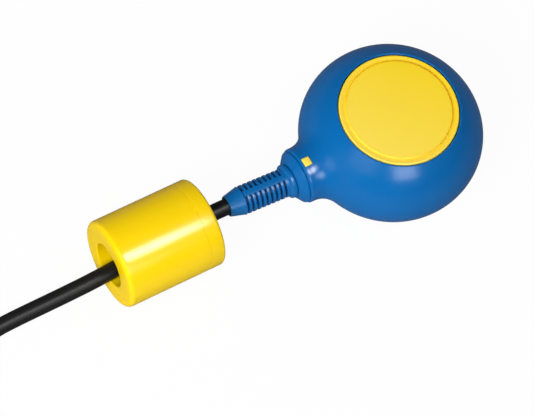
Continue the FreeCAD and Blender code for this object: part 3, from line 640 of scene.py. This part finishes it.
boot_body = spin_along("cable_boot_sleeve", boot_outline(True) + boot_outline(True)[:1], steps=72)
spine_angle = 2 * math.asin(spine_width / 2 / boot_radius)
spines = []
for name, turn in (("spine_above", -spine_angle / 2), ("spine_below", math.pi - spine_angle / 2)):
    ridge = [(s, r) for s, r in boot_outline(False) if boot_sleeve <= s <= boot_straight_end]
    ridge = [(ridge[0][0], spine_root)] + ridge + [(ridge[-1][0], spine_root)]
    line = []
    for s, r in ridge + ridge[:1]:
        line.append((-s, r * math.sin(turn), middle + r * math.cos(turn)))
    spine = draw(name, line)
    bpy.ops.mesh.select_all(action="SELECT")
    bpy.ops.mesh.remove_doubles(threshold=merge_distance)
    bpy.ops.mesh.select_all(action="SELECT")
    bpy.ops.mesh.edge_face_add()
    bpy.ops.mesh.spin(steps=6, angle=spine_angle, center=(0, 0, middle), axis=(1, 0, 0))
    bpy.ops.mesh.select_all(action="SELECT")
    bpy.ops.mesh.normals_make_consistent(inside=False)
    bpy.ops.object.mode_set(mode="OBJECT")
    spines.append(spine)
boot = join("boot", boot_body, *spines)
ring_centre = Vector((-boot_ring_end, 0, middle))
for vertex in boot.data.vertices:
    if vertex.co.x < -lean_from:
        vertex.co = ring_centre + Matrix.Rotation(-boot_lean, 3, "Z") @ (vertex.co - ring_centre)
blue_rubber = finish_of("blue boot rubber", (0.0, 0.13, 0.39), 0.3, grain_size=0.5, depth=0.03, drift=0.12)
dress(boot, blue_rubber)
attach(boot, "housing")
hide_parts("cable_boot")

# The weight: a yellow plastic case with a tube through it, filled with an iron ring and closed on
# the float's side by a pressed cap. The tube's bore has a cone and a seat for the wedge ring that
# holds the weight on the cable.
weight_radius = 24.7 * mm
weight_side = 1.15 * mm
weight_near = 115.6 * mm
weight_far = 172.9 * mm
weight_wall = 2.3 * mm
cap_end = 124.33 * mm
case_start = 124.4 * mm
edge_far = 2.6 * mm
edge_near = 1.8 * mm
joint_chamfer = 0.12 * mm
mouth_radius = 12.4 * mm
mouth_chamfer = 0.7 * mm
mouth_end = 137.8 * mm
seat_radius = 10.55 * mm
seat_end = 136.0 * mm
cone_wide = 8.75 * mm
cone_end = 126.0 * mm
cone_narrow = 7.75 * mm
weight_tube_radius = 14.4 * mm
end_wall = 170.3 * mm
cap_hole = 8.0 * mm
cap_hole_chamfer = 0.3 * mm
cap_floor = 118.6 * mm
cap_spigot_radius = 22.3 * mm
cap_spigot_bore = 20.1 * mm
cap_spigot_end = 128.25 * mm
case_outline = [(case_start, weight_radius - weight_wall), (case_start, weight_radius - joint_chamfer),
                (case_start + joint_chamfer, weight_radius)]
case_outline += arc((weight_far - edge_far, weight_radius - edge_far), edge_far, 90, 0, 8)
case_outline += arc((weight_far - mouth_chamfer, mouth_radius + mouth_chamfer), mouth_chamfer, 0, -90, 4)
case_outline += [(mouth_end, mouth_radius), (mouth_end, seat_radius), (seat_end, seat_radius),
                 (seat_end, cone_wide), (cone_end, cone_narrow), (case_start, cone_narrow),
                 (case_start, weight_tube_radius), (end_wall, weight_tube_radius),
                 (end_wall, weight_radius - weight_wall)]
weight_case = spin_along("weight_shell", case_outline + case_outline[:1],
                         weight_side, weight_radius, steps=144)
cap_outline = [(weight_near, cap_hole + cap_hole_chamfer)]
cap_outline += arc((weight_near + edge_near, weight_radius - edge_near), edge_near, 180, 90, 7)
cap_outline += [(cap_end - joint_chamfer, weight_radius), (cap_end, weight_radius - joint_chamfer),
                (cap_end, cap_spigot_radius), (cap_spigot_end, cap_spigot_radius),
                (cap_spigot_end, cap_spigot_bore), (cap_floor, cap_spigot_bore),
                (cap_floor, cap_hole), (weight_near + cap_hole_chamfer, cap_hole)]
weight_cap = spin_along("weight_end_cap", cap_outline + cap_outline[:1],
                        weight_side, weight_radius, steps=144)
weight_plastic = finish_of("yellow weight plastic", (0.92, 0.635, 0.0), 0.22,
                           grain_size=0.6, depth=0.03, drift=0.05)
for piece, node in ((weight_case, "weight_case"), (weight_cap, "weight_cap")):
    dress(piece, weight_plastic)
    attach(piece, "housing")
    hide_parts(node)
cast_iron = finish_of("cast iron", (0.10, 0.10, 0.105), 0.6, grain_size=1.2, depth=0.15, metallic=0.9)
dress(nodes["weight_ballast"], cast_iron)

# The pieces inside, as they are in the frame: milky nylon for the ball's channel, washer and wedge
# ring, black phenolic for the switch and red for its button, rubber seals, brass tags, and
# polished steel for the ball, screws, pin and lever.
nylon = finish_of("milky nylon", (0.72, 0.71, 0.66), 0.4, grain_size=0.6, depth=0.02)
phenolic = finish_of("black phenolic", (0.03, 0.03, 0.032), 0.35, grain_size=0.4, depth=0.02, drift=0.2)
seal_rubber = finish_of("seal rubber", (0.025, 0.025, 0.025), 0.6, grain_size=0.5, depth=0.03, drift=0.2)
polished_steel = finish_of("polished steel", (0.62, 0.62, 0.63), 0.16,
                           grain_size=0.3, depth=0.002, metallic=1.0)
brass = finish_of("brass", (0.75, 0.55, 0.22), 0.3, grain_size=0.3, depth=0.01, metallic=1.0)
red_plastic = finish_of("red plunger plastic", (0.55, 0.05, 0.03), 0.35, grain_size=0.3, depth=0.01)
inside = {
    "switch_carrier": nylon, "channel_plug": nylon, "gland_washer": nylon, "cable_lock": nylon,
    "switch_case": phenolic, "switch_cover": phenolic, "switch_plunger": red_plastic,
    "capsule_seal": seal_rubber, "gland_seal": seal_rubber,
    "steel_ball": polished_steel, "carrier_screws": polished_steel, "lever_pin": polished_steel,
    "switch_lever": polished_steel, "tag_closed": brass, "tag_common": brass, "tag_open": brass,
}
for node, material in inside.items():
    dress(nodes[node], material)

# The studio: a white floor that keeps a faint shadow, a pale room, and soft lamps. The object
# mirrors a dim room, as in the photo, where only the lamps show in its gloss.
floor_drop = 0.1 * mm


def studio_surface(tree, kind, lit, share_white, mirrored_level):
    """What a ray finds there: the lit surface, a dim one in mirrored light, and white behind the object."""
    rays = add_node(tree, "ShaderNodeLightPath")
    white = add_node(tree, kind, [("Color", (1.0, 1.0, 1.0, 1.0)), ("Strength", 1.0)])
    dim = add_node(tree, kind, [("Color", (0.9, 0.95, 1.0, 1.0)), ("Strength", mirrored_level)])
    seen = calculate(tree, "MAXIMUM", rays.outputs["Is Camera Ray"], rays.outputs["Is Transmission Ray"])
    share = calculate(tree, "MULTIPLY", seen, share_white)
    mix = add_node(tree, "ShaderNodeMixShader",
                   [(0, rays.outputs["Is Glossy Ray"]), (1, lit), (2, dim.outputs[0])])
    return add_node(tree, "ShaderNodeMixShader", [(0, share), (1, mix.outputs[0]), (2, white.outputs[0])])


bpy.ops.object.select_all(action="DESELECT")
bpy.ops.mesh.primitive_plane_add(size=8.0, location=(0, 0, 0))
floor = bpy.context.active_object
floor.name = "floor"
floor.data.transform(Matrix.Translation((0, 0, -floor_drop)))
floor_material = bpy.data.materials.new("floor")
floor_material.use_nodes = True
floor_tree = floor_material.node_tree
floor_tree.nodes.clear()
matt = add_node(floor_tree, "ShaderNodeBsdfDiffuse", [("Color", (0.8, 0.8, 0.8, 1.0))])
floor_mix = studio_surface(floor_tree, "ShaderNodeEmission", matt.outputs[0],
                           share_white=0.96, mirrored_level=0.14)
add_node(floor_tree, "ShaderNodeOutputMaterial", [("Surface", floor_mix.outputs[0])])
dress(floor, floor_material)

world = bpy.data.worlds.new("studio")
bpy.context.scene.world = world
world.use_nodes = True
world_tree = world.node_tree
world_tree.nodes.clear()
soft_room = add_node(world_tree, "ShaderNodeBackground",
                     [("Color", (1.0, 0.87, 1.0, 1.0)), ("Strength", 0.25)])
world_mix = studio_surface(world_tree, "ShaderNodeBackground", soft_room.outputs[0],
                           share_white=1.0, mirrored_level=0.04)
add_node(world_tree, "ShaderNodeOutputWorld", [("Surface", world_mix.outputs[0])])


def lamp(name, way, distance, size, power, target, tint=(1.0, 1.0, 1.0), lights=True, shines=True):
    """A lamp of a given size that lights a target, shines in its gloss, or does both."""
    light = bpy.data.lights.new(name, "AREA")
    light.shape = "RECTANGLE"
    light.size, light.size_y = size
    light.energy = power
    light.color = tint
    holder = bpy.data.objects.new(name, light)
    way = Vector(way).normalized()
    turn = way.to_track_quat("Z", "Y").to_matrix().to_4x4()
    holder.matrix_world = Matrix.Translation(target + way * distance) @ turn
    holder.visible_diffuse = lights
    holder.visible_glossy = shines
    bpy.context.scene.collection.objects.link(holder)


weight_place = Vector((-0.145, 0.0, 0.03))
float_place = Vector((0.0, -0.03, 0.03))
whole_place = Vector((-0.08, 0.0, 0.03))
end_place = Vector((-0.17, 0.0, 0.03))
lamp("high_lamp", (0.317, -0.337, 0.884), 1.4, (0.3, 0.3), 4.5, weight_place, shines=False)
lamp("high_shine", (0.20, -0.36, 0.90), 1.4, (0.3, 0.48), 10.0, weight_place, lights=False)
lamp("front_shine", (-0.17, -0.76, 0.62), 1.2, (0.5, 0.42), 3.6, float_place, lights=False)
lamp("key_lamp", (-0.70, -0.28, 0.66), 1.6, (0.9, 0.9), 23.5, whole_place, (0.98, 1.0, 1.0), shines=False)
lamp("end_lamp", (-0.93, -0.15, 0.33), 0.45, (0.3, 0.3), 0.5, end_place, shines=False)
bpy.context.scene.view_settings.view_transform = "Standard"
